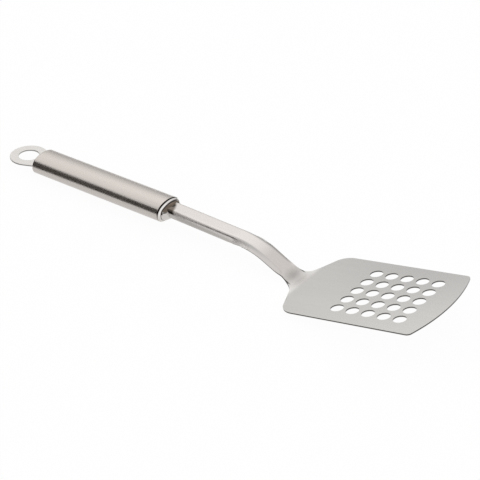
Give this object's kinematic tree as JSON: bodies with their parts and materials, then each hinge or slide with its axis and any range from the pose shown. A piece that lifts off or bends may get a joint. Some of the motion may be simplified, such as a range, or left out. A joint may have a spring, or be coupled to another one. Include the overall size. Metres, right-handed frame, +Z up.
{
  "type": "fish spatula",
  "caption": "Perforated all-steel turner with a cranked neck, an oval tube handle and a hanging eye.",
  "frame": {"origin": "on the table, under the middle of the whole part as it lies at rest", "axes": "+X along the part towards the blade's front edge, +Y across it, +Z up from the table"},
  "size_m": [0.3255, 0.0684, 0.0263],
  "materials": {
    "pressed_sheet": "softly polished sheet with fine lengthwise lines",
    "brushed_tube": "satin, brushed round the tube",
    "polished_cap": "bright polish",
    "stamped_plate": "softly polished plate"
  },
  "bodies": {
    "root": {"blade_and_neck": "pressed_sheet", "handle_tube": "brushed_tube", "front_end_cap": "polished_cap", "rear_end_cap": "brushed_tube", "hanging_eye": "stamped_plate"}
  },
  "joints": []
}
